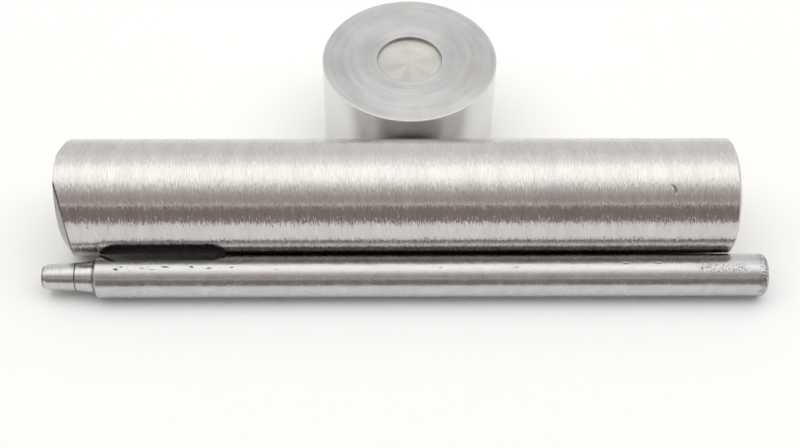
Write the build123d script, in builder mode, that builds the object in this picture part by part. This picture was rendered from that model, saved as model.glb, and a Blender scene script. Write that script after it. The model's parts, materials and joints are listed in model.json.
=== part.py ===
# Rivet setting set of three loose steel tools, each turned from one bar:
# a round anvil with a shallow seat, a setter rod with a matching cup, and a
# hollow hole punch with a slot that lets the punched chips out.
# Millimetres. The anvil stands on its base with the origin at the centre of
# that base, +Z is up, and the two rods lie along X in front of it, towards -Y.
import os
from math import radians, sqrt, tan

from build123d import *

# Rivet cap that the set closes, and the shallow seat that holds it
rivet_cap_dia = 9.0
cap_clearance = 0.3
seat_wall_depth = 0.6
seat_dish_depth = 0.3

# Anvil
anvil_dia = 25.0
anvil_height = 14.5
anvil_rim_break = 0.2
anvil_foot_break = 0.4

# Setter rod
setter_dia = 16.0
setter_length = 90.7
setter_nose_break = 0.1
setter_head_break = 0.3

# Bevels ground by hand on the setter's working end: each is deepest on one side, given as
# an angle up from the front, and fades out round the edge
front_bevel_length = 1.55
front_bevel_depth = 2.05
front_bevel_angle = -3.0
back_bevel_length = 0.87
back_bevel_depth = 1.54
back_bevel_angle = 150.0
bevel_axis_offset = 5.0

# Hole punch, body and struck head
punch_dia = 5.8
punch_length = 97.7
punch_head_round = 0.7
punch_shoulder_break = 0.12

# Hole punch, nose from the cutting rim back to the shoulder
rim_dia = 2.95
rim_bevel_length = 0.65
nose_front_dia = 3.4
nose_line_dia = 3.85
nose_line_at = 4.45
nose_line_width = 0.16
nose_line_depth = 0.07
nose_root_dia = 4.45
nose_length = 7.3
undercut_width = 0.42
undercut_depth = 0.16

# Hole punch, cutting bore, wider relief bore behind it, and chip slot
bore_dia = 2.5
bore_length = 6.0
relief_bore_dia = 2.9
drill_point_angle = 118.0
slot_start = 7.8
slot_length = 16.7
slot_width = 3.9
slot_past_axis = 0.4
slot_tilt = 40.0

# How the pieces lie: ends along X, and clearances between round faces
setter_nose_x = -47.2
punch_tip_x = -49.7
anvil_to_setter = 0.1
setter_to_punch = 0.1

# Sizes and places that follow from the values above
seat_radius = (rivet_cap_dia + cap_clearance) / 2
seat_depth = seat_wall_depth + seat_dish_depth
anvil_radius = anvil_dia / 2
setter_radius = setter_dia / 2
punch_radius = punch_dia / 2
setter_y = -(anvil_radius + anvil_to_setter + setter_radius)
centre_gap = setter_radius + punch_radius + setter_to_punch
punch_y = setter_y - sqrt(centre_gap**2 - (setter_radius - punch_radius) ** 2)
relief_end = slot_start + slot_length - slot_width / 2
drill_point = relief_bore_dia / 2 / tan(radians(drill_point_angle / 2))

# Planes at the ends of the pieces, each with its normal out of the metal
anvil_top = Plane.XY.offset(anvil_height)
setter_nose = Plane(origin=(setter_nose_x, setter_y, setter_radius), x_dir=(0, 1, 0), z_dir=(-1, 0, 0))
punch_tip = Plane(origin=(punch_tip_x, punch_y, punch_radius), x_dir=(0, 1, 0), z_dir=(-1, 0, 0))


def half_section(end):
    """Plane through a turned piece's axis: x is the radius and y the depth behind the end plane."""
    return Plane(origin=end.origin, x_dir=end.x_dir, z_dir=end.y_dir)


def turning_axis(end):
    """Axis that a piece is turned about, through the centre of its end plane."""
    return Axis(end.origin, end.z_dir)


def sink_cap_seat(end):
    """Sink the rivet cap's seat into an end face: a short straight wall over a shallow dish."""
    with BuildSketch(half_section(end)) as seat_section:
        with BuildLine():
            Polyline((0, seat_depth), (0, 0), (seat_radius, 0), (seat_radius, seat_wall_depth))
            TangentArc((0, seat_depth), (seat_radius, seat_wall_depth), tangent=(1, 0))
        make_face()
    revolve(seat_section.sketch, axis=turning_axis(end), mode=Mode.SUBTRACT)


def grind_bevel(length, depth, angle):
    """Grind a one-sided bevel on the setter's nose, as a cone turned about an offset axis."""
    deepest = Vector(0, -1, 0).rotate(Axis.X, -angle)
    end = Plane(
        origin=setter_nose.origin - deepest * bevel_axis_offset,
        x_dir=deepest,
        z_dir=setter_nose.z_dir,
    )
    reach = setter_radius + bevel_axis_offset
    with BuildSketch(half_section(end)) as bevel_section:
        with BuildLine():
            Polyline((reach - depth, 0), (reach + depth, 0), (reach + depth, 2 * length), close=True)
        make_face()
    revolve(bevel_section.sketch, axis=turning_axis(end), mode=Mode.SUBTRACT)


# Anvil: short bar end with broken edges, and the seat sunk into its top face
with BuildPart() as anvil:
    with BuildSketch(Plane.XY):
        Circle(anvil_radius)
    extrude(amount=anvil_height)
    chamfer(anvil.edges().group_by(Axis.Z)[-1], length=anvil_rim_break)
    chamfer(anvil.edges().group_by(Axis.Z)[0], length=anvil_foot_break)
    sink_cap_seat(anvil_top)

# Setter rod: ground working end with the cup, and a plain struck end
with BuildPart() as setter_rod:
    with BuildSketch(setter_nose):
        Circle(setter_radius)
    extrude(amount=-setter_length)
    chamfer(setter_rod.edges().group_by(Axis.X)[0], length=setter_nose_break)
    chamfer(setter_rod.edges().group_by(Axis.X)[-1], length=setter_head_break)
    grind_bevel(front_bevel_length, front_bevel_depth, front_bevel_angle)
    grind_bevel(back_bevel_length, back_bevel_depth, back_bevel_angle)
    sink_cap_seat(setter_nose)

# Hole punch: turned nose and body, then the bores from the tip and the chip slot
with BuildPart() as hole_punch:
    with BuildSketch(half_section(punch_tip)):
        with BuildLine():
            Polyline(
                (0, 0),
                (rim_dia / 2, 0),
                (nose_front_dia / 2, rim_bevel_length),
                (nose_line_dia / 2, nose_line_at - nose_line_width / 2),
                (nose_line_dia / 2 - nose_line_depth, nose_line_at),
                (nose_line_dia / 2, nose_line_at + nose_line_width / 2),
                (nose_root_dia / 2, nose_length - undercut_width),
                (nose_root_dia / 2 - undercut_depth, nose_length - undercut_width / 2),
                (nose_root_dia / 2 - undercut_depth, nose_length),
                (punch_radius - punch_shoulder_break, nose_length),
                (punch_radius, nose_length + punch_shoulder_break),
                (punch_radius, punch_length),
                (0, punch_length),
                close=True,
            )
        make_face()
    revolve(axis=turning_axis(punch_tip))
    fillet(hole_punch.edges().group_by(Axis.X)[-1], radius=punch_head_round)

    with BuildSketch(half_section(punch_tip)):
        with BuildLine():
            Polyline(
                (0, 0),
                (bore_dia / 2, 0),
                (bore_dia / 2, bore_length),
                (relief_bore_dia / 2, bore_length),
                (relief_bore_dia / 2, relief_end),
                (0, relief_end + drill_point),
                close=True,
            )
        make_face()
    revolve(axis=turning_axis(punch_tip), mode=Mode.SUBTRACT)

    slot_centre = (punch_tip_x + slot_start + slot_length / 2, punch_y, punch_radius)
    slot_out = Vector(0, 1, 0).rotate(Axis.X, slot_tilt)
    slot_floor = Plane(origin=slot_centre, x_dir=(1, 0, 0), z_dir=slot_out).offset(-slot_past_axis)
    with BuildSketch(slot_floor):
        SlotOverall(slot_length, slot_width)
    extrude(amount=slot_past_axis + punch_dia, mode=Mode.SUBTRACT)

os.makedirs("parts", exist_ok=True)
anvil.part.label = "anvil"
setter_rod.part.label = "setter_rod"
hole_punch.part.label = "hole_punch"
export_step(anvil.part, "parts/anvil.step")
export_step(setter_rod.part, "parts/setter_rod.step")
export_step(hole_punch.part, "parts/hole_punch.step")
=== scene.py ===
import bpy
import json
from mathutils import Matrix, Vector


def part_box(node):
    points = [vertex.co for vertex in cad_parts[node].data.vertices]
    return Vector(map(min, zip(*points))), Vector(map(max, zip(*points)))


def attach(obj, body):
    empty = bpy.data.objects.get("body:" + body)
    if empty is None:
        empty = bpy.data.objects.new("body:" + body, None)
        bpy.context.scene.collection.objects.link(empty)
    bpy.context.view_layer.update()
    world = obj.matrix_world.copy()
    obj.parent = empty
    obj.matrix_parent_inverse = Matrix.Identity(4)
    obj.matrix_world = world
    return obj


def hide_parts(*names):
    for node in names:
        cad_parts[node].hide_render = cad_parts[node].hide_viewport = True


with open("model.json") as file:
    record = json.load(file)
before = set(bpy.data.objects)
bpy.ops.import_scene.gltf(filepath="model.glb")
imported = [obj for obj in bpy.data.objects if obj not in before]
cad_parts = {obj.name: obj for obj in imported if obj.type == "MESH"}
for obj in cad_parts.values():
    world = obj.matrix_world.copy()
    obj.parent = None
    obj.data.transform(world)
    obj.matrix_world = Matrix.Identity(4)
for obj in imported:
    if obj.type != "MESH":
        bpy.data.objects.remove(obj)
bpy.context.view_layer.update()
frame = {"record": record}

# Looks of the rivet setting set: three turned steel pieces and a plain studio, in metres.
# The rods lie along X with their working ends at low X, and the anvil stands behind them.
import json
from math import atan2, ceil, cos, exp, hypot, pi, radians, sin, sqrt, tan
from random import Random

import bmesh
import bpy
from mathutils import Vector, noise

MM = 0.001
X_DIR = Vector((1, 0, 0))
Y_DIR = Vector((0, 1, 0))
Z_DIR = Vector((0, 0, 1))

# Sizes that the frame gives
mounts = {mount["name"]: mount for mount in frame["record"]["mounts"]}
anvil_low, anvil_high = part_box("anvil")
setter_low, setter_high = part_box("setter_rod")
punch_low, punch_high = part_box("hole_punch")
anvil_radius = (anvil_high.x - anvil_low.x) / 2
anvil_height = anvil_high.z
setter_radius = (setter_high.z - setter_low.z) / 2
setter_length = setter_high.x - setter_low.x
punch_radius = (punch_high.z - punch_low.z) / 2
punch_length = punch_high.x - punch_low.x
seat_radius = mounts["anvil_seat"]["dims"]["r_mm"] * MM
seat_wall = mounts["anvil_seat"]["dims"]["length_mm"] * MM
bore_radius = mounts["punch_bore"]["dims"]["r_mm"] * MM
setter_end = Vector((setter_low.x, (setter_low.y + setter_high.y) / 2, setter_radius))
punch_end = Vector((punch_low.x, (punch_low.y + punch_high.y) / 2, punch_radius))

# Shared small sizes
seat_dish = 0.3 * MM
edge_round = 0.06 * MM
fine_round = 0.03 * MM

# Anvil and setter rod edges
anvil_rim_break = 0.12 * MM
anvil_foot_break = 0.4 * MM
setter_nose_break = 0.1 * MM
setter_head_break = 0.3 * MM

# Ground bevels on the setter's nose: axial length, radial depth, angle up from the front
nose_bevels = [(1.55 * MM, 2.05 * MM, radians(-3)), (0.87 * MM, 1.54 * MM, radians(150))]
bevel_axis_offset = 5.0 * MM
bevel_blend = 0.05 * MM

# Punch nose from the cutting rim back to the shoulder, then its struck head
rim_radius = 1.475 * MM
rim_bevel_length = 0.65 * MM
nose_front_radius = 1.7 * MM
nose_line_radius = 1.925 * MM
nose_line_at = 4.45 * MM
nose_line_width = 0.16 * MM
nose_line_depth = 0.07 * MM
nose_root_radius = 2.225 * MM
nose_length = 7.3 * MM
undercut_width = 0.42 * MM
undercut_depth = 0.16 * MM
shoulder_break = 0.12 * MM
head_round = 0.7 * MM

# Punch cutting bore, relief bore and chip slot
relief_radius = 1.45 * MM
slot_start = 7.8 * MM
slot_length = 16.7 * MM
slot_width = 3.9 * MM
slot_past_axis = 0.4 * MM
slot_tilt = radians(40)
slot_edge_round = 0.06 * MM
drill_point_angle = radians(118)
bore_length = mounts["punch_bore"]["dims"]["length_mm"] * MM
relief_end = slot_start + slot_length - slot_width / 2
drill_point = relief_radius / tan(drill_point_angle / 2)

# Scuffed patch near the punch's struck end, up from the front
scuff_start = 87.5 * MM
scuff_end = 95.5 * MM
scuff_angle = radians(73)


def outline(corners, arc_steps=4, support=0.02 * MM):
    """Profile through (depth, radius, round) corners, each rounded by its own radius."""
    points = [Vector(corners[0][:2])]
    for before, corner, after in zip(corners, corners[1:], corners[2:]):
        at = Vector(corner[:2])
        if corner[2] == 0:
            points.append(at)
            continue
        back = (Vector(before[:2]) - at).normalized()
        onward = (Vector(after[:2]) - at).normalized()
        half_angle = back.angle(onward) / 2
        reach = corner[2] / tan(half_angle)
        centre = at + (back + onward).normalized() * corner[2] / sin(half_angle)
        first = at + back * reach - centre
        last = at + onward * reach - centre
        sweep = first.angle(last)
        points.append(at + back * (reach + support))
        for step in range(arc_steps + 1):
            share = step / arc_steps
            spoke = (first * sin((1 - share) * sweep) + last * sin(share * sweep)) / sin(sweep)
            points.append(centre + spoke)
        points.append(at + onward * (reach + support))
    points.append(Vector(corners[-1][:2]))
    return points


def refined(points, step_at):
    """The profile with its long stretches divided into steps, whose length step_at gives."""
    result = [points[0]]
    for start, end in zip(points, points[1:]):
        count = max(1, ceil((end - start).length / step_at((start + end) / 2)))
        result += [start.lerp(end, index / count) for index in range(1, count + 1)]
    return result


def dish(depth_at_wall, sink, radius, steps=10):
    """Corners of a shallow spherical dish, from its middle out to its wall."""
    sphere = (radius**2 + sink**2) / (2 * sink)
    corners = []
    for step in range(steps):
        across = radius * step / steps
        corners.append((depth_at_wall + sink - sphere + (sphere**2 - across**2) ** 0.5, across, 0))
    return corners


def ring_angles(count, fine=None):
    """Angles round a turned piece, from 0 to a full turn, with a finer zone (middle, half width, step)."""
    angles = [2 * pi * index / count for index in range(count)]
    if fine:
        middle, half_width, step = fine
        angles = [angle for angle in angles if abs(angle - middle) > half_width]
        fine_count = int(2 * half_width / step)
        angles += [middle - half_width + step * (index + 0.5) for index in range(fine_count)]
    return sorted(angles)


def turned_piece(name, end, inward, side, profile, angles, finish_of, finishes, relief=None):
    """Mesh of a profile turned about the axis that runs inward from end.

    Angles start at side. Where relief is given, it moves each (depth, radius, angle) and adds how much
    the spot is darkened, from 0 to 1, which the mesh keeps as a float attribute; the darkening is partly
    grime and partly painted shade.
    """
    across = inward.cross(side)
    mesh = bpy.data.meshes.new(name)
    shape = bmesh.new()
    grime_and_shade = shape.verts.layers.float.new("grime_and_shade")
    rings = []
    for point in profile:
        if point.y < 1e-9:
            rings.append([shape.verts.new(end + inward * point.x)])
            continue
        ring = []
        for angle in angles:
            depth, radius, grime_and_shade_amount = relief(point.x, point.y, angle) if relief else (*point, 0)
            spoke = side * cos(angle) + across * sin(angle)
            vert = shape.verts.new(end + inward * depth + spoke * radius)
            vert[grime_and_shade] = grime_and_shade_amount
            ring.append(vert)
        rings.append(ring)
    for index, (ring, next_ring) in enumerate(zip(rings, rings[1:])):
        middle = (profile[index] + profile[index + 1]) / 2
        for corner in range(len(angles)):
            following = (corner + 1) % len(angles)
            corners = [ring[corner % len(ring)], ring[following % len(ring)]]
            corners += [next_ring[following % len(next_ring)], next_ring[corner % len(next_ring)]]
            face = shape.faces.new(dict.fromkeys(corners))
            face.material_index = finish_of(middle)
            face.smooth = True
    bmesh.ops.recalc_face_normals(shape, faces=shape.faces)
    shape.to_mesh(mesh)
    shape.free()
    for finish in finishes:
        mesh.materials.append(finish)
    piece = bpy.data.objects.new(name, mesh)
    bpy.context.scene.collection.objects.link(piece)
    return piece


class Nodes:
    """Short forms for adding and joining the shader nodes of one material or world."""

    def __init__(self, owner):
        owner.use_nodes = True
        self.tree = owner.node_tree
        self.tree.nodes.clear()

    def add(self, kind, inputs=None, **settings):
        node = self.tree.nodes.new(kind)
        for key, value in settings.items():
            setattr(node, key, value)
        for key, value in (inputs or {}).items():
            if isinstance(value, bpy.types.NodeSocket):
                self.tree.links.new(value, node.inputs[key])
            else:
                node.inputs[key].default_value = value
        return node

    def maths(self, operation, first, second=0.0, third=0.0):
        node = self.add("ShaderNodeMath", {0: first, 1: second, 2: third}, operation=operation)
        return node.outputs[0]

    def vector(self, operation, first, second=(0, 0, 0)):
        node = self.add("ShaderNodeVectorMath", {0: first, 1: second}, operation=operation)
        scalar = operation in ("LENGTH", "DOT_PRODUCT", "DISTANCE")
        return node.outputs["Value" if scalar else "Vector"]

    def scaled(self, vector, factor):
        node = self.add("ShaderNodeVectorMath", {0: vector, "Scale": factor}, operation="SCALE")
        return node.outputs["Vector"]

    def noise(self, vector, scale=1.0, detail=2.0, roughness=0.5):
        inputs = {"Vector": vector, "Scale": scale, "Detail": detail, "Roughness": roughness}
        return self.add("ShaderNodeTexNoise", inputs).outputs["Fac"]

    def span(self, value, from_low, from_high, to_low=0.0, to_high=1.0):
        inputs = {0: value, 1: from_low, 2: from_high, 3: to_low, 4: to_high}
        return self.add("ShaderNodeMapRange", inputs).outputs[0]

    def mixed(self, share, first, second):
        node = self.add("ShaderNodeMix", {0: share, 6: first, 7: second}, data_type="RGBA")
        return node.outputs[2]


def grey(level, warmth=0.0):
    """Linear colour of a grey, a little warmer (red up, blue down) or cooler by warmth."""
    return (level * (1 + warmth), level, level * (1 - warmth), 1.0)


def grimed_and_shaded(nodes, colour, shade):
    """The colour, darkened to shade where the mesh's darkening attribute says so, for grime and painted
    shade alike.
    """
    grime_and_shade = nodes.add("ShaderNodeAttribute", attribute_name="grime_and_shade").outputs["Fac"]
    return nodes.mixed(grime_and_shade, colour, shade)


class TurnedCoordinates:
    """Places on a turned piece: depth along the tool's path, and the directions round and along it."""

    def __init__(self, nodes, centre, axis):
        self.nodes = nodes
        self.axis = tuple(axis)
        place = nodes.add("ShaderNodeTexCoord").outputs["Object"]
        self.local = nodes.vector("SUBTRACT", place, tuple(centre))
        flat = tuple(1 - component for component in self.axis)
        self.radial = nodes.vector("MULTIPLY", self.local, flat)
        self.radius = nodes.vector("LENGTH", self.radial)
        self.depth = nodes.vector("DOT_PRODUCT", self.local, self.axis)
        self.path = nodes.maths("MULTIPLY_ADD", self.radius, 0.7, self.depth)
        self.normal = nodes.add("ShaderNodeNewGeometry").outputs["Normal"]
        self.around = nodes.vector("NORMALIZE", nodes.vector("CROSS_PRODUCT", self.axis, self.radial))
        self.along = nodes.vector("CROSS_PRODUCT", self.around, self.normal)

    def streaks(self, width, length, slant=0.0, detail=2.0, roughness=0.5):
        """Noise drawn out round the piece, in streaks of this width and length, leaning by slant."""
        nodes = self.nodes
        lean = nodes.vector("DOT_PRODUCT", self.radial, (slant * 0.6, slant * 0.5, slant * 0.8))
        across = nodes.maths("DIVIDE", nodes.maths("ADD", self.path, lean), width)
        round_part = nodes.scaled(self.radial, 1 / length)
        place = nodes.vector("ADD", round_part, nodes.scaled(self.axis, across))
        return nodes.noise(place, 1.0, detail, roughness)

    def drawn(self, width, length, detail=2.0, roughness=0.5):
        """Noise drawn out along the piece, as on a cold drawn bar."""
        nodes = self.nodes
        along = nodes.maths("DIVIDE", self.depth, length)
        place = nodes.vector("ADD", nodes.scaled(self.radial, 1 / width), nodes.scaled(self.axis, along))
        return nodes.noise(place, 1.0, detail, roughness)

    def patches(self, size, detail=2.0, roughness=0.5):
        """Even noise of this grain size."""
        return self.nodes.noise(self.local, 1 / size, detail, roughness)

    def tilted(self, *tilts):
        """The surface normal, tilted by (direction, noise, amount) triples."""
        nodes = self.nodes
        normal = self.normal
        for direction, pattern, amount in tilts:
            push = nodes.maths("MULTIPLY", nodes.maths("SUBTRACT", pattern, 0.5), amount)
            normal = nodes.vector("ADD", normal, nodes.scaled(direction, push))
        return nodes.vector("NORMALIZE", normal)


def steel(name, colour, roughness, normal, nodes, axis_letter, anisotropy, metallic=1.0):
    """Joins a steel surface, bare or nearly black and dull, to its material's output."""
    inputs = {"Base Color": colour, "Roughness": roughness, "Normal": normal, "Metallic": metallic}
    inputs["Anisotropic"] = anisotropy
    inputs["Anisotropic Rotation"] = 0.25
    tangent = nodes.add("ShaderNodeTangent", direction_type="RADIAL", axis=axis_letter)
    inputs["Tangent"] = tangent.outputs[0]
    surface = nodes.add("ShaderNodeBsdfPrincipled", inputs)
    nodes.add("ShaderNodeOutputMaterial", {"Surface": surface.outputs[0]})


def faced_steel():
    """Anvil: lathe rings on the face with a painted sheen darker at its left and right, painted sheen
    sectors in the seat, a painted highlight on the rim, a smooth side painted lighter as its reflection, a
    painted shade line in the seat and a stain.
    """
    material = bpy.data.materials.new("faced_steel")
    nodes = Nodes(material)
    at = TurnedCoordinates(nodes, (0, 0, 0), Z_DIR)
    rings = at.streaks(0.22 * MM, 12 * MM, detail=3.0)
    broad_rings = at.streaks(0.9 * MM, 14 * MM, detail=1.0)
    cloud = at.patches(3.5 * MM)
    outward = nodes.vector("NORMALIZE", at.radial)
    sectors = nodes.noise(nodes.scaled(outward, 1.2), detail=1.0)
    painted_side_sheen = nodes.maths("POWER", nodes.vector("DOT_PRODUCT", outward, (1, 0, 0)), 2.0)
    in_seat = nodes.span(at.radius, seat_radius, seat_radius - 0.08 * MM)
    rim_inside = anvil_radius - 2 * anvil_rim_break
    painted_rim_highlight = nodes.span(at.radius, rim_inside - 0.2 * anvil_rim_break, rim_inside + 0.1 * anvil_rim_break)
    on_side = nodes.span(at.radius, anvil_radius - 0.08 * MM, anvil_radius - 0.03 * MM)
    shade = nodes.maths("MULTIPLY_ADD", broad_rings, 0.35, nodes.maths("MULTIPLY", cloud, 0.35))
    shade = nodes.maths("MULTIPLY_ADD", rings, 0.3, shade)
    # Painted sheen: the face is coloured darker towards its left and right.
    shade = nodes.maths("SUBTRACT", shade, nodes.maths("MULTIPLY", painted_side_sheen, 0.12))
    colour = nodes.mixed(nodes.span(shade, 0.3, 0.6), grey(0.48, 0.002), grey(0.62, 0.004))
    # Painted sheen: the seat's own yellowish grey, split into lighter and darker sectors round its middle.
    painted_sheen_share = nodes.span(sectors, 0.38, 0.62)
    seat_colour_and_sheen = nodes.mixed(painted_sheen_share, (0.57, 0.563, 0.525, 1), (0.65, 0.643, 0.6, 1))
    colour = nodes.mixed(in_seat, colour, seat_colour_and_sheen)
    # Painted highlight: a lighter line of colour along the rim's break.
    colour = nodes.mixed(painted_rim_highlight, colour, grey(0.6, 0.004))
    # Painted reflection: the side is coloured lighter than the face, standing in for its brighter
    # reflection; its smooth finish is real.
    colour = nodes.mixed(on_side, colour, nodes.mixed(cloud, grey(0.68, 0.008), grey(0.78, 0.008)))
    stain_far = nodes.vector("DISTANCE", at.local, (8.7 * MM, -3.4 * MM, anvil_height))
    stain = nodes.maths("MULTIPLY", nodes.span(stain_far, 3.4 * MM, 0.6 * MM), nodes.span(rings, 0.4, 0.6))
    colour = nodes.mixed(nodes.maths("MULTIPLY", stain, 0.4), colour, (0.46, 0.4, 0.29, 1))
    # Painted shade: the dark line round the foot of the seat's wall, from the mesh's darkening attribute.
    colour = grimed_and_shaded(nodes, colour, grey(0.12, 0.05))
    rough = nodes.span(at.streaks(0.3 * MM, 5 * MM), 0.3, 0.7, 0.33, 0.45)
    rough = nodes.span(painted_rim_highlight, 0.0, 1.0, rough, 0.3)
    rough = nodes.span(on_side, 0.0, 1.0, rough, 0.27)
    fine = at.streaks(0.09 * MM, 5 * MM, detail=3.0)
    plain = nodes.span(on_side, 0.0, 1.0, 1.0, 0.0)
    normal = at.tilted(
        (at.along, fine, nodes.maths("MULTIPLY", plain, 0.26)),
        (at.along, broad_rings, nodes.maths("MULTIPLY", plain, 0.12)),
        (at.along, sectors, nodes.maths("MULTIPLY", in_seat, 0.16)),
    )
    brushed = nodes.span(on_side, 0.0, 1.0, 0.8, 0.2)
    steel("faced_steel", colour, rough, normal, nodes, "Z", brushed)
    return material


def ground_steel():
    """Setter rod: bright grinding lines round the bar, slightly crossed, with small glints."""
    material = bpy.data.materials.new("ground_steel")
    nodes = Nodes(material)
    at = TurnedCoordinates(nodes, setter_end, X_DIR)
    lines = at.streaks(0.13 * MM, 1.6 * MM, slant=0.12, detail=4.0, roughness=0.6)
    hairlines = at.streaks(0.07 * MM, 1.0 * MM, slant=-0.1, detail=2.0)
    nicks = at.streaks(0.11 * MM, 0.6 * MM, slant=0.16, detail=1.0)
    bands = at.streaks(1.6 * MM, 9 * MM, detail=2.0)
    shade = nodes.maths("MULTIPLY_ADD", bands, 0.35, nodes.maths("MULTIPLY", lines, 0.65))
    colour = nodes.mixed(nodes.span(shade, 0.36, 0.64), grey(0.515, 0.03), grey(0.635, 0.03))
    # Darkening from the mesh's attribute: painted reflection on the nose bevel, painted shade in the nick.
    colour = grimed_and_shaded(nodes, colour, grey(0.1, 0.03))
    rough = nodes.span(at.streaks(0.2 * MM, 1.8 * MM), 0.35, 0.65, 0.14, 0.27)
    normal = at.tilted((at.around, lines, 0.05), (at.around, hairlines, 0.16), (at.along, lines, 0.28))
    for glints, push in ((nodes.span(nicks, 0.58, 0.85), 0.2), (nodes.span(nicks, 0.42, 0.15), -0.15)):
        shift = nodes.scaled(at.around, nodes.maths("MULTIPLY", glints, push))
        normal = nodes.vector("NORMALIZE", nodes.vector("ADD", normal, shift))
    steel("ground_steel", colour, rough, normal, nodes, "X", 0.6)
    return material


def drawn_steel():
    """Punch body: drawn bar with faint lines along it, a scuffed patch and a hammered end."""
    material = bpy.data.materials.new("drawn_steel")
    nodes = Nodes(material)
    at = TurnedCoordinates(nodes, punch_end, X_DIR)
    lines = at.drawn(0.16 * MM, 3.5 * MM, detail=3.0)
    cloud = at.patches(1.1 * MM, detail=4.0, roughness=0.6)
    grain = at.patches(0.2 * MM, detail=2.0)
    pits = at.patches(0.17 * MM, detail=2.0)
    curls = at.patches(0.3 * MM, detail=1.0)
    rings = at.streaks(0.25 * MM, 4 * MM)
    toward_scuff = (0, -cos(scuff_angle), sin(scuff_angle))
    in_scuff = nodes.vector("DOT_PRODUCT", nodes.vector("NORMALIZE", at.radial), toward_scuff)
    scuffed = nodes.span(in_scuff, cos(radians(15)), cos(radians(8)))
    for from_depth, to_depth in ((scuff_start, scuff_start + 1.5 * MM), (scuff_end, scuff_end - 1.5 * MM)):
        scuffed = nodes.maths("MULTIPLY", scuffed, nodes.span(at.depth, from_depth, to_depth))
    hammered = nodes.span(at.depth, punch_length - 1.5 * MM, punch_length - 0.9 * MM)
    beaten = nodes.maths("MAXIMUM", hammered, nodes.maths("MULTIPLY", scuffed, 0.6))
    shade = nodes.maths("MULTIPLY_ADD", lines, 0.5, nodes.maths("MULTIPLY", cloud, 0.5))
    colour = nodes.mixed(nodes.span(shade, 0.38, 0.62), grey(0.49, 0.004), grey(0.59, -0.01))
    specks = nodes.maths("MAXIMUM", nodes.span(pits, 0.54, 0.62), nodes.span(curls, 0.56, 0.6))
    specks = nodes.maths("MULTIPLY", nodes.maths("MULTIPLY", specks, beaten), 0.75)
    colour = nodes.mixed(specks, colour, grey(0.08, 0.05))
    # Darkening from the mesh's attribute: painted shade lines on the nose, marks darkened by depth, the
    # head's curls painted darker on its low side.
    colour = grimed_and_shaded(nodes, colour, grey(0.04, 0.08))
    rough = nodes.span(cloud, 0.3, 0.7, 0.2, 0.3)
    normal = at.tilted(
        (at.around, lines, 0.07),
        (at.around, cloud, 0.03),
        (at.around, grain, 0.08),
        (at.along, rings, 0.1),
        (at.along, grain, 0.15),
        (at.around, pits, nodes.maths("MULTIPLY", beaten, 1.5)),
        (at.along, grain, nodes.maths("MULTIPLY", beaten, 1.5)),
    )
    steel("drawn_steel", colour, rough, normal, nodes, "X", 0.2)
    return material


def nose_steel():
    """Punch nose: bright turned rings with painted shade lines at its edges."""
    material = bpy.data.materials.new("nose_steel")
    nodes = Nodes(material)
    at = TurnedCoordinates(nodes, punch_end, X_DIR)
    rings = at.streaks(0.13 * MM, 4 * MM, detail=2.0)
    cloud = at.patches(0.9 * MM, detail=3.0)
    shade = nodes.maths("MULTIPLY_ADD", rings, 0.6, nodes.maths("MULTIPLY", cloud, 0.4))
    colour = nodes.mixed(nodes.span(shade, 0.36, 0.64), grey(0.5, 0.01), grey(0.62, 0.01))
    # Painted shade: the nose's dark lines, from the mesh's attribute.
    colour = grimed_and_shaded(nodes, colour, grey(0.05, 0.06))
    rough = nodes.span(cloud, 0.3, 0.7, 0.2, 0.28)
    normal = at.tilted((at.along, rings, 0.16), (at.around, rings, 0.06))
    steel("nose_steel", colour, rough, normal, nodes, "X", 0.4)
    return material


def dark_steel():
    """Bore and chip slot: nearly black, dull and not metallic."""
    material = bpy.data.materials.new("dark_steel")
    nodes = Nodes(material)
    at = TurnedCoordinates(nodes, punch_end, X_DIR)
    cloud = at.patches(0.5 * MM, detail=4.0)
    colour = nodes.mixed(nodes.span(cloud, 0.35, 0.65), (0.06, 0.058, 0.07, 1), (0.09, 0.087, 0.1, 1))
    rough = nodes.span(cloud, 0.3, 0.7, 0.45, 0.6)
    normal = at.tilted((at.along, at.streaks(0.15 * MM, 2 * MM), 0.3), (at.around, cloud, 0.1))
    steel("dark_steel", colour, rough, normal, nodes, "X", 0.0, metallic=0.0)
    return material


# Anvil
anvil_corners = dish(seat_wall, seat_dish, seat_radius)
anvil_corners += [
    (seat_wall, seat_radius, fine_round),
    (0.045 * MM, seat_radius, fine_round),
    (0, seat_radius + 0.1 * MM, fine_round),
    (0, anvil_radius - 2 * anvil_rim_break, fine_round),
    (0.035 * MM, anvil_radius - 0.7 * anvil_rim_break, fine_round),
    (anvil_rim_break, anvil_radius, fine_round),
    (anvil_height - anvil_foot_break, anvil_radius, edge_round),
    (anvil_height, anvil_radius - anvil_foot_break, edge_round),
    (anvil_height, 0, 0),
]
anvil_profile = refined(outline(anvil_corners, arc_steps=6), lambda middle: 1.0 * MM)


def seat_shade_line(depth, radius, angle):
    """The anvil's surface with a painted shade line low on the wall of its seat, where it meets the dish.
    """
    if not 0.1 * MM < depth < seat_wall + seat_dish:
        return depth, radius, 0
    return depth, radius, 0.45 * exp(-(((radius - seat_radius) / (0.06 * MM)) ** 2))


anvil = turned_piece(
    "anvil_turned",
    Vector((0, 0, anvil_height)),
    -Z_DIR,
    Y_DIR,
    anvil_profile,
    ring_angles(256),
    lambda middle: 0,
    [faced_steel()],
    seat_shade_line,
)
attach(anvil, "anvil")
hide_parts("anvil")

# Setter rod, with its ground nose and the small curved nick near its struck end
nick_at = 81.9 * MM
nick_angle = radians(54)
nick_bend = 0.8 * MM
nick_width = 0.16 * MM
nick_depth = 0.05 * MM
nick_heading = radians(20)
nick_sweep = radians(48)
nose_zone = 0.3 * MM


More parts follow.
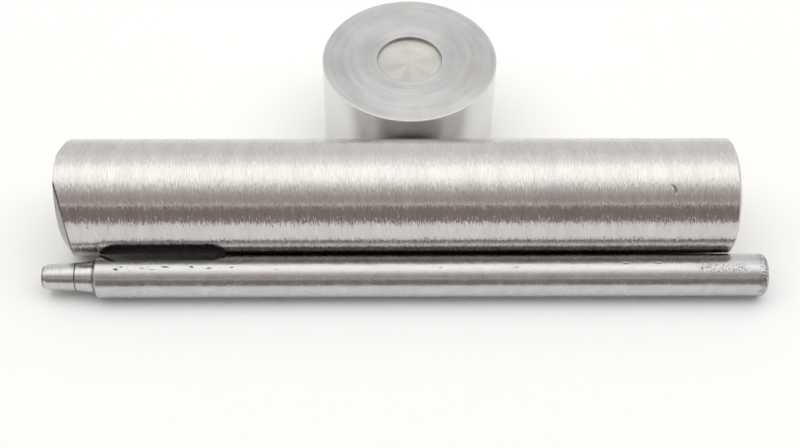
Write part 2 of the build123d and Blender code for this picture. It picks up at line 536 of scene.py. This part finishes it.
def bevel_push(radius, angle):
    """How far the ground bevels push the nose's edge back at this radius and angle."""
    push = 0
    for length, depth, deepest in nose_bevels:
        swing = angle - deepest
        across = hypot(radius * cos(swing) + bevel_axis_offset, radius * sin(swing))
        over = (across - (setter_radius + bevel_axis_offset - depth)) * length / depth
        push += (over + sqrt(over**2 + bevel_blend**2)) / 2 - 0.001 * MM
    return push


def setter_surface(depth, radius, angle):
    """The rod's surface with its nose ground and the nick pressed in; the bevel is darkened as a painted
    reflection and the nick as painted shade.
    """
    if depth < nose_zone and radius > seat_radius + 0.2 * MM:
        push = bevel_push(radius, angle)
        front = max(0, min(1, 2 * cos(angle - nose_bevels[0][2])))
        ground = front * min(1, push / (0.08 * MM)) if depth < nose_zone / 2 else 0
        outer_edge = exp(-(((radius - setter_radius) / (0.1 * MM)) ** 2))
        inner_edge = exp(-(((push - 0.08 * MM) / (0.12 * MM)) ** 2))
        speck = max(0, noise.noise(Vector((radius, depth, angle * setter_radius)) / (0.3 * MM)))
        # Painted reflection: the ground bevel is darkened, most along its two edges, as the darker things
        # it faces; speckled along the outer edge.
        grime_and_shade_amount = 0.6 + inner_edge * 0.35 + outer_edge * (0.2 + speck)
        return depth + push, radius, min(1, 1.6 * ground) * min(1, grime_and_shade_amount)
    along = depth - nick_at + nick_bend
    around = (angle - nick_angle) * setter_radius
    off_line = (hypot(along, around) - nick_bend) / nick_width
    off_heading = (atan2(around, along) - nick_heading) / nick_sweep
    # Painted shade: the nick is darkened where it is pressed in.
    pressed = exp(-(off_line**2) - off_heading**4)
    return depth, radius - nick_depth * pressed, 0.85 * pressed


setter_corners = dish(seat_wall, seat_dish, seat_radius)
setter_corners += [
    (seat_wall, seat_radius, fine_round),
    (0, seat_radius, edge_round),
    (0, setter_radius - setter_nose_break, edge_round),
    (setter_nose_break, setter_radius, edge_round),
    (0.2 * MM, setter_radius, 0),
    (1.9 * MM, setter_radius, 0),
    (nick_at - 1.2 * MM, setter_radius, 0),
    (nick_at + 0.5 * MM, setter_radius, 0),
    (setter_length - setter_head_break, setter_radius, edge_round),
    (setter_length, setter_radius - setter_head_break, edge_round),
    (setter_length, 0, 0),
]


def setter_step(middle):
    """How finely the rod's profile is divided: finest at the nose's edge and the nick."""
    if abs(middle.x - nick_at + 0.35 * MM) < 0.85 * MM:
        return 0.045 * MM
    if middle.x < 1e-6 and middle.y > seat_radius + 0.3 * MM:
        return 0.12 * MM
    return 2 * MM if middle.x > 1.9 * MM else 4 * MM


setter_rod = turned_piece(
    "setter_rod_turned",
    setter_end,
    X_DIR,
    -Y_DIR,
    refined(outline(setter_corners), setter_step),
    ring_angles(288, (2 * pi - nick_angle, radians(9), radians(0.35))),
    lambda middle: 0,
    [ground_steel()],
    lambda depth, radius, angle: setter_surface(depth, radius, 2 * pi - angle),
)
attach(setter_rod, "setter_rod")
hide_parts("setter_rod")

# Hole punch: stretches of its body that are marked, as (start, end) from the rim
marked_stretches = [(nose_length, 33 * MM), (53 * MM, 65 * MM), (77 * MM, punch_length)]

# Its marks, as (distance from the rim, angle up from the front, length, width, depth)
punch_marks = [
    (10.2 * MM, radians(72), 0.6 * MM, 0.26 * MM, 0.11 * MM),
    (10.8 * MM, radians(79), 0.5 * MM, 0.14 * MM, 0.06 * MM),
    (14.8 * MM, radians(70), 0.8 * MM, 0.12 * MM, 0.03 * MM),
    (16.9 * MM, radians(78.5), 0.9 * MM, 0.18 * MM, 0.07 * MM),
    (20.2 * MM, radians(79.5), 0.5 * MM, 0.2 * MM, 0.08 * MM),
    (22.6 * MM, radians(75), 0.7 * MM, 0.16 * MM, 0.06 * MM),
    (25.6 * MM, radians(78), 0.4 * MM, 0.22 * MM, 0.08 * MM),
    (31.6 * MM, radians(69), 0.5 * MM, 0.12 * MM, 0.03 * MM),
    (53.5 * MM, radians(74), 0.4 * MM, 0.16 * MM, 0.05 * MM),
    (59.1 * MM, radians(47.5), 0.12 * MM, 0.7 * MM, 0.03 * MM),
    (63.6 * MM, radians(76), 0.6 * MM, 0.12 * MM, 0.04 * MM),
    (78.4 * MM, radians(87), 0.7 * MM, 0.16 * MM, 0.04 * MM),
    (82.8 * MM, radians(88), 0.6 * MM, 0.16 * MM, 0.04 * MM),
]
chance = Random(11)
for zone_start, zone_end, low_angle, high_angle, count in ((11.2, 16.5, 64, 82, 12), (88, 94.5, 64, 84, 9)):
    for index in range(count):
        place = chance.uniform(zone_start, zone_end) * MM
        turn = radians(chance.uniform(low_angle, high_angle))
        width = chance.uniform(0.1, 0.16) * MM
        punch_marks.append((place, turn, width * chance.uniform(1.2, 4), width, width * 0.25))
mark_grain = 0.3 * MM
mark_raggedness = 0.14 * MM
head_zone = 1.8 * MM
head_dent = 0.045 * MM
head_end_dent = 0.03 * MM
# Painted shade lines on the nose, as (distance from the rim, width, strength): at the rim's edge, in the
# groove, in the undercut and at the shoulder.
nose_shade_lines = [(0.03 * MM, 0.13 * MM, 0.9), (nose_line_at, 0.08 * MM, 0.9)]
nose_shade_lines += [(nose_length - undercut_width, 0.07 * MM, 0.5), (nose_length - 0.05 * MM, 0.12 * MM, 0.8)]


def worn(depth, radius, angle):
    """The punch's surface with its pits, painted shade lines on its nose and the hammered end."""
    grime_and_shade_amount = 0
    if depth <= nose_length and radius > bore_radius + 0.05 * MM:
        for at, width, strength in nose_shade_lines:
            grime_and_shade_amount = max(grime_and_shade_amount, strength * exp(-(((depth - at) / width) ** 2)))
    spot = Vector((depth, radius * cos(angle), radius * sin(angle)))
    if depth > nose_length and radius > punch_radius - 0.001 * MM:
        ragged_along = noise.noise(spot / mark_grain) * mark_raggedness
        ragged_around = noise.noise(spot / mark_grain + Vector((4, 8, 6))) * mark_raggedness
        for at, mark_angle, length, width, deep in punch_marks:
            along = (depth - at + ragged_along) / (length / 2)
            around = ((angle - mark_angle) * punch_radius + ragged_around) / (width / 2)
            if abs(along) < 2.5 and abs(around) < 2.5:
                pressed = exp(-(along**2) - around**2)
                radius -= deep * pressed
                # The marks are darkened in proportion to their depth.
                grime_and_shade_amount = max(grime_and_shade_amount, min(1, deep / (0.06 * MM)) * pressed)
    hammered = (depth - punch_length + head_zone) / head_zone
    if hammered > 0:
        rough = noise.noise(spot / (0.4 * MM)) + 0.6 * noise.noise(spot / (0.2 * MM))
        spread = min(1, hammered * (1.5 - 0.7 * cos(angle - 0.5)))
        dent = min(1, max(0, 0.5 + rough))
        radius -= head_dent * spread * dent * radius / punch_radius
        depth -= head_end_dent * max(0, hammered - 0.6) * dent
        # Curled marks on the hammered end are darkened, more on its low side; the extra darkening on the
        # low side is painted shade.
        curl = max(0, 1 - abs(noise.noise(spot / (0.6 * MM) + Vector((7, 3, 5)))) / 0.15)
        low_side = max(0, cos(angle + 0.9))
        grime_and_shade_amount = max(grime_and_shade_amount, spread * curl * (0.3 + 0.6 * low_side))
    return depth, radius, grime_and_shade_amount


punch_corners = [
    (relief_end + drill_point, 0, 0),
    (relief_end, relief_radius, 0),
    (bore_length, relief_radius, 0),
    (bore_length, bore_radius, 0),
    (0, bore_radius, fine_round),
    (0, rim_radius, fine_round),
    (rim_bevel_length, nose_front_radius, fine_round),
    (nose_line_at - nose_line_width / 2, nose_line_radius, fine_round),
    (nose_line_at, nose_line_radius - nose_line_depth, 0),
    (nose_line_at + nose_line_width / 2, nose_line_radius, fine_round),
    (nose_length - undercut_width, nose_root_radius, fine_round),
    (nose_length - undercut_width / 2, nose_root_radius - undercut_depth, fine_round),
    (nose_length, nose_root_radius - undercut_depth, fine_round),
    (nose_length, punch_radius - shoulder_break, fine_round),
    (nose_length + shoulder_break, punch_radius, fine_round),
    (marked_stretches[0][1], punch_radius, 0),
    (marked_stretches[1][0], punch_radius, 0),
    (marked_stretches[1][1], punch_radius, 0),
    (marked_stretches[2][0], punch_radius, 0),
    (punch_length - head_zone, punch_radius, 0),
    (punch_length, punch_radius, head_round),
    (punch_length, 0, 0),
]
BODY, NOSE, DARK = range(3)


def punch_step(middle):
    """How finely the punch's profile is divided: finest where it is marked."""
    if middle.y < relief_radius + 0.01 * MM and middle.x < punch_length - 0.01 * MM:
        return 2 * MM
    if middle.x > punch_length - head_zone:
        return 0.08 * MM
    if middle.x < nose_length:
        return 0.15 * MM
    marked = any(start <= middle.x < end for start, end in marked_stretches)
    return 0.13 * MM if marked else 1.5 * MM


def punch_finish(middle):
    """Which finish a stretch of the punch's profile has."""
    if middle.x < relief_end + drill_point and middle.y <= relief_radius:
        return DARK if middle.x > 0.01 * MM else NOSE
    return NOSE if middle.x < nose_length - 0.001 * MM else BODY


hole_punch = turned_piece(
    "hole_punch_turned",
    punch_end,
    X_DIR,
    -Y_DIR,
    refined(outline(punch_corners), punch_step),
    ring_angles(208),
    punch_finish,
    [drawn_steel(), nose_steel(), dark_steel()],
    lambda depth, radius, angle: worn(depth, radius, (2 * pi - angle + pi) % (2 * pi) - pi),
)


def slot_cutter():
    """Solid that mills the chip slot: a round-ended prism from the slot's floor outwards."""
    out = Vector((0, cos(slot_tilt), sin(slot_tilt)))
    side = out.cross(X_DIR)
    middle = punch_end + X_DIR * (slot_start + slot_length / 2) - out * slot_past_axis
    straight = slot_length / 2 - slot_width / 2
    shape = bmesh.new()
    floor = []
    steps = 24
    for turn in range(2):
        for step in range(steps + 1):
            angle = pi * (turn + step / steps)
            place = X_DIR * (cos(angle + pi * 0.5) * slot_width / 2 - straight * (1 - 2 * turn))
            place += side * sin(angle + pi * 0.5) * slot_width / 2
            floor.append(shape.verts.new(middle + place))
    base = shape.faces.new(floor)
    sides = bmesh.ops.extrude_face_region(shape, geom=[base])
    moved = [item for item in sides["geom"] if isinstance(item, bmesh.types.BMVert)]
    bmesh.ops.translate(shape, verts=moved, vec=out * (slot_past_axis + punch_radius * 1.5))
    bmesh.ops.recalc_face_normals(shape, faces=shape.faces)
    mesh = bpy.data.meshes.new("slot_cutter")
    shape.to_mesh(mesh)
    shape.free()
    mesh.materials.append(bpy.data.materials["dark_steel"])
    cutter = bpy.data.objects.new("slot_cutter", mesh)
    bpy.context.scene.collection.objects.link(cutter)
    return cutter


def milled(piece, cutter):
    """Cuts the cutter's solid out of a piece, keeping the cutter's finish, then deletes the cutter."""
    cut = piece.modifiers.new("slot", "BOOLEAN")
    cut.operation = "DIFFERENCE"
    cut.solver = "EXACT"
    cut.material_mode = "TRANSFER"
    cut.object = cutter
    bpy.context.view_layer.update()
    result = bpy.data.meshes.new_from_object(piece.evaluated_get(bpy.context.evaluated_depsgraph_get()))
    piece.modifiers.clear()
    piece.data = result
    bpy.data.objects.remove(cutter)


def break_slot_edge(piece):
    """Rounds the sharp edge where the slot breaks through the bar's surface."""
    slot_low = slot_start - 0.1 * MM
    slot_high = slot_start + slot_length + 0.1 * MM
    shape = bmesh.new()
    shape.from_mesh(piece.data)
    edges = []
    for edge in shape.edges:
        if len(edge.link_faces) != 2 or edge.calc_face_angle(0) < radians(25):
            continue
        places = [vert.co - punch_end for vert in edge.verts]
        outer = all(abs(hypot(place.y, place.z) - punch_radius) < 0.03 * MM for place in places)
        at_slot = all(slot_low < place.x < slot_high for place in places)
        if outer and at_slot:
            edges.append(edge)
    bmesh.ops.bevel(shape, geom=edges, offset=slot_edge_round, segments=2, affect="EDGES", profile=0.5)
    shape.to_mesh(piece.data)
    shape.free()


milled(hole_punch, slot_cutter())
break_slot_edge(hole_punch)
hole_punch.data.shade_smooth()
hole_punch.data.set_sharp_from_angle(angle=radians(32))
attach(hole_punch, "hole_punch")
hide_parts("hole_punch")


# Floor, studio and camera
def flat_panel(name, corners, material):
    """Flat four-cornered stage panel."""
    mesh = bpy.data.meshes.new(name)
    mesh.from_pydata(corners, [], [(0, 1, 2, 3)])
    mesh.materials.append(material)
    panel = bpy.data.objects.new(name, mesh)
    bpy.context.scene.collection.objects.link(panel)
    return panel


floor_half = 3.0
floor_paper = bpy.data.materials.new("floor_paper")
floor_nodes = Nodes(floor_paper)
floor_surface = floor_nodes.add(
    "ShaderNodeBsdfPrincipled",
    {"Base Color": (0.95, 0.95, 0.945, 1), "Roughness": 0.7, "Specular IOR Level": 0.1},
)
floor_nodes.add("ShaderNodeOutputMaterial", {"Surface": floor_surface.outputs[0]})
floor_corners = [(-floor_half, -floor_half, 0), (floor_half, -floor_half, 0)]
floor_corners += [(floor_half, floor_half, 0), (-floor_half, floor_half, 0)]
flat_panel("floor", floor_corners, floor_paper)


def glowing_panel(name, corners, axis, stops):
    """Panel seen only by the object, whose glow runs through (place along the axis, colour) stops."""
    material = bpy.data.materials.new(name)
    nodes = Nodes(material)
    place = nodes.add("ShaderNodeTexCoord").outputs["Object"]
    along = nodes.add("ShaderNodeSeparateXYZ", {0: place}).outputs[axis]
    share = nodes.span(along, stops[0][0], stops[-1][0])
    ramp = nodes.add("ShaderNodeValToRGB", {"Fac": share})
    points = ramp.color_ramp.elements
    while len(points) < len(stops):
        points.new(0.5)
    for point, (at, colour) in zip(points, stops):
        point.position = (at - stops[0][0]) / (stops[-1][0] - stops[0][0])
        point.color = (*colour, 1)
    glow = nodes.add("ShaderNodeEmission", {"Color": ramp.outputs[0], "Strength": 1.0})
    nodes.add("ShaderNodeOutputMaterial", {"Surface": glow.outputs[0]})
    panel = flat_panel(name, corners, material)
    panel.visible_camera = False
    return panel


# Dark front of the room, seen only in the metal, as (angle up from the front, colour) from the rod
front_y = -0.27
front_half = 1.2
front_stops = [
    (-1.9, (0.29, 0.24, 0.23)),
    (18.0, (0.27, 0.22, 0.21)),
    (28.0, (0.28, 0.235, 0.225)),
    (33.0, (0.32, 0.27, 0.255)),
    (34.6, (1.2, 1.13, 1.12)),
    (35.9, (1.2, 1.13, 1.12)),
    (37.4, (0.40, 0.345, 0.335)),
    (47.0, (0.47, 0.41, 0.40)),
    (54.5, (0.55, 0.49, 0.48)),
    (62.0, (0.68, 0.64, 0.62)),
    (69.0, (0.90, 0.87, 0.85)),
]
front_gap = setter_end.y - front_y
front_glow = []
for angle, colour in front_stops:
    front_glow.append((max(0, setter_radius + front_gap * tan(radians(angle))), colour))
front_top = front_glow[-1][0]
front_corners = [(-front_half, front_y, 0), (front_half, front_y, 0)]
front_corners += [(front_half, front_y, front_top), (-front_half, front_y, front_top)]
room_front = glowing_panel("room_front", front_corners, "Z", front_glow)
room_front.visible_diffuse = False
room_front.visible_shadow = False

# Overhead softbox, brightest over the rods, as (angle up from the front, colour) from the rod
softbox_height = 0.8
softbox_half = 1.1
softbox_stops = [
    (69.5, (0.93, 0.90, 0.88)),
    (74.0, (1.10, 1.07, 1.05)),
    (78.0, (1.30, 1.27, 1.24)),
    (82.0, (1.46, 1.44, 1.41)),
    (90.0, (1.58, 1.57, 1.54)),
    (106.0, (1.60, 1.59, 1.56)),
    (112.0, (1.48, 1.47, 1.44)),
    (117.0, (1.26, 1.25, 1.23)),
    (125.0, (1.11, 1.10, 1.08)),
    (136.0, (1.05, 1.04, 1.02)),
    (144.0, (0.92, 0.91, 0.89)),
]
softbox_gap = softbox_height - setter_radius
softbox_glow = []
for angle, colour in softbox_stops:
    softbox_glow.append((setter_end.y - softbox_gap / tan(radians(angle)), colour))
near_edge = softbox_glow[0][0]
far_edge = softbox_glow[-1][0]
softbox_corners = [(-softbox_half, near_edge, softbox_height), (-softbox_half, far_edge, softbox_height)]
softbox_corners += [(softbox_half, far_edge, softbox_height), (softbox_half, near_edge, softbox_height)]
glowing_panel("softbox", softbox_corners, "Y", softbox_glow)

# Overhead key light, just under the softbox, that keeps the floor bright round the tools' shadows
key_brightness = 0.81
key = bpy.data.lights.new("key", "AREA")
key.shape = "RECTANGLE"
key.size = 1.4
key.size_y = 0.52
key.energy = key_brightness * pi * key.size * key.size_y
key_lamp = bpy.data.objects.new("key", key)
key_lamp.location = (0, -0.14, softbox_height - 0.02)
key_lamp.visible_camera = False
key_lamp.visible_glossy = False
bpy.context.scene.collection.objects.link(key_lamp)

# Even surround: white where the camera or the metal sees it, a little dimmer as the floor's light
surround = bpy.data.worlds.new("surround")
surround_nodes = Nodes(surround)
ray = surround_nodes.add("ShaderNodeLightPath").outputs
seen = surround_nodes.maths("MAXIMUM", ray["Is Camera Ray"], ray["Is Glossy Ray"])
seen = surround_nodes.maths("MAXIMUM", seen, ray["Is Transmission Ray"])
brightness = surround_nodes.span(seen, 0.0, 1.0, 0.37, 0.91)
surround_light = surround_nodes.add("ShaderNodeBackground", {"Strength": brightness})
surround_nodes.add("ShaderNodeOutputWorld", {"Surface": surround_light.outputs[0]})
surround_light.inputs["Color"].default_value = (1, 1, 0.995, 1)
bpy.context.scene.world = surround

camera_data = bpy.data.cameras.new("camera")
camera_data.sensor_width = 36
camera_data.lens = 58.61
camera_data.clip_start = 0.01
camera = bpy.data.objects.new("camera", camera_data)
camera.location = (-3.731 * MM, -137.451 * MM, 143.545 * MM)
camera.rotation_euler = (radians(39.5717), radians(-0.4567), radians(-0.5536))
bpy.context.scene.collection.objects.link(camera)
bpy.context.scene.camera = camera
bpy.context.scene.view_settings.view_transform = "Standard"
